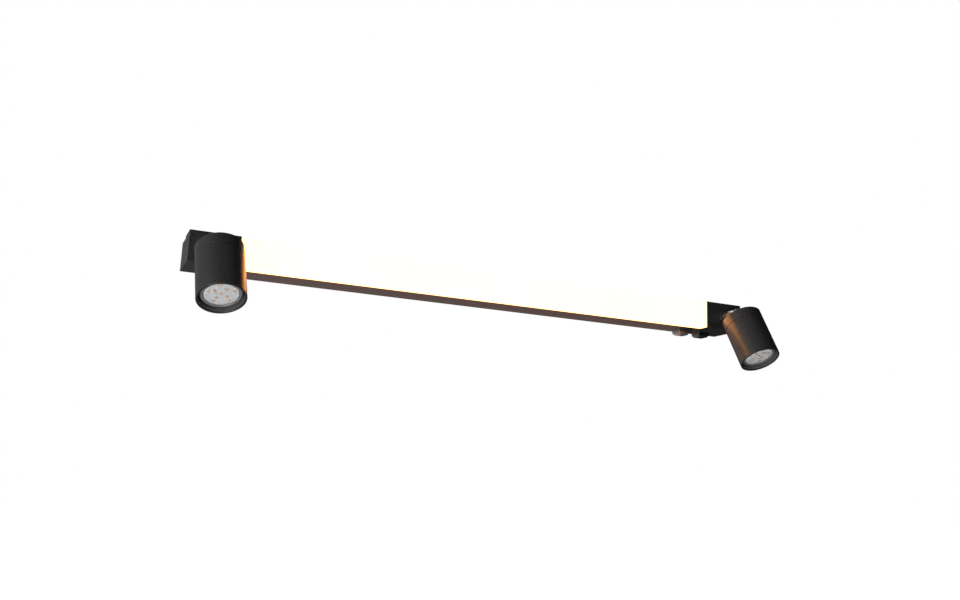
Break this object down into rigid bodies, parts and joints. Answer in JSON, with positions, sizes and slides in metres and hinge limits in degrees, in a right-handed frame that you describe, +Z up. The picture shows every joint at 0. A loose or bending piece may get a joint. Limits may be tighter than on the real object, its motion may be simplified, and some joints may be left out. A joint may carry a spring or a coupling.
{
  "type": "wall lamp",
  "caption": "Slim black wall lamp: a lit opal bar between two end blocks, with a swivelling cylindrical spot on each block and square push switches below.",
  "frame": {"origin": "centre of the wall bracket's two slotted screw holes, on the wall plane", "axes": "X along the bar, -Y out from the wall into the room, +Z up"},
  "size_m": [0.8629, 0.1728, 0.1127],
  "materials": {
    "black_paint": "satin black powder coat",
    "opal": "opal, lit from inside",
    "zinc_steel": "zinc plated",
    "black_steel": "blackened steel",
    "nickel": "satin nickel",
    "black_nickel": "black nickel",
    "aluminium": "mill finish",
    "board_white": "white solder mask",
    "phosphor": "yellow phosphor",
    "driver_plastic": "white moulding",
    "lamp_plastic": "grey moulding",
    "lens": "clear, lightly frosted",
    "ceramic": "unglazed ceramic",
    "contact": "plated",
    "rubber": "matt",
    "nylon": "black nylon",
    "lead_insulation": "soft PVC",
    "earth_insulation": "soft PVC, green and yellow",
    "live_insulation": "soft PVC, brown"
  },
  "bodies": {
    "bar": {"wall_bracket": "zinc_steel", "wall_box": "black_paint", "cable_grommet": "rubber", "terminal_block": "driver_plastic", "terminal_screws": "zinc_steel", "earth_terminal": "zinc_steel", "earth_lead": "earth_insulation", "switch_leads": "live_insulation", "spot_lead_left": "lead_insulation", "spot_lead_right": "lead_insulation", "driver_lead": "lead_insulation", "led_lead": "lead_insulation", "lock_screw": "black_steel", "light_housing": "black_paint", "housing_screws": "zinc_steel", "led_diffuser": "opal", "led_carrier": "aluminium", "carrier_screws": "zinc_steel", "led_boards": "board_white", "led_chips": "phosphor", "led_driver": "driver_plastic", "end_block_left": "black_paint", "end_block_right": "black_paint", "block_screws": "zinc_steel", "switch_bezel_left": "nickel", "switch_nut_left": "zinc_steel", "switch_core_left": "nylon", "switch_bezel_right": "black_nickel", "switch_nut_right": "zinc_steel", "switch_core_right": "nylon", "stem_collar_left": "black_paint", "stem_collar_right": "black_paint"},
    "stem_left": {"spot_stem_left": "nickel", "stem_nut_left": "zinc_steel"},
    "spot_left": {"spot_cap_left": "black_paint", "hinge_screw_left": "black_steel", "hinge_washers_left": "nylon", "spot_tube_left": "black_paint", "lampholder_left": "ceramic", "holder_screws_left": "zinc_steel", "lamp_body_left": "lamp_plastic", "lamp_pins_left": "contact", "lamp_board_left": "board_white", "lamp_leds_left": "phosphor", "lamp_lens_left": "lens"},
    "button_left": {"switch_button_left": "nickel"},
    "stem_right": {"spot_stem_right": "nickel", "stem_nut_right": "zinc_steel"},
    "spot_right": {"spot_cap_right": "black_paint", "hinge_screw_right": "black_steel", "hinge_washers_right": "nylon", "spot_tube_right": "black_paint", "lampholder_right": "ceramic", "holder_screws_right": "zinc_steel", "lamp_body_right": "lamp_plastic", "lamp_pins_right": "contact", "lamp_board_right": "board_white", "lamp_leds_right": "phosphor", "lamp_lens_right": "lens"},
    "button_right": {"switch_button_right": "black_nickel"}
  },
  "joints": [
    {"name": "swivel_left", "type": "hinge", "parent": "bar", "child": "stem_left", "pos_m": [-0.3975, -0.068, 0.00175], "axis": [0, -1, 0], "range_deg": [-170, 170]},
    {"name": "tilt_left", "type": "hinge", "parent": "stem_left", "child": "spot_left", "pos_m": [-0.3975, -0.105, 0.00175], "axis": [-0.9994, 0, -0.0349], "range_deg": [-28, 62]},
    {"name": "press_left", "type": "slide", "parent": "bar", "child": "button_left", "axis": [0, 0, 1], "range_m": [0, 0.0015], "stiffness_N_per_m": 1400},
    {"name": "swivel_right", "type": "hinge", "parent": "bar", "child": "stem_right", "pos_m": [0.3975, -0.068, 0.00175], "axis": [0, -1, 0], "range_deg": [-170, 170]},
    {"name": "tilt_right", "type": "hinge", "parent": "stem_right", "child": "spot_right", "pos_m": [0.3975, -0.105, 0.00175], "axis": [-0.9976, 0, -0.0698], "range_deg": [-28, 62]},
    {"name": "press_right", "type": "slide", "parent": "bar", "child": "button_right", "axis": [0, 0, 1], "range_m": [0, 0.0015], "stiffness_N_per_m": 1400}
  ]
}
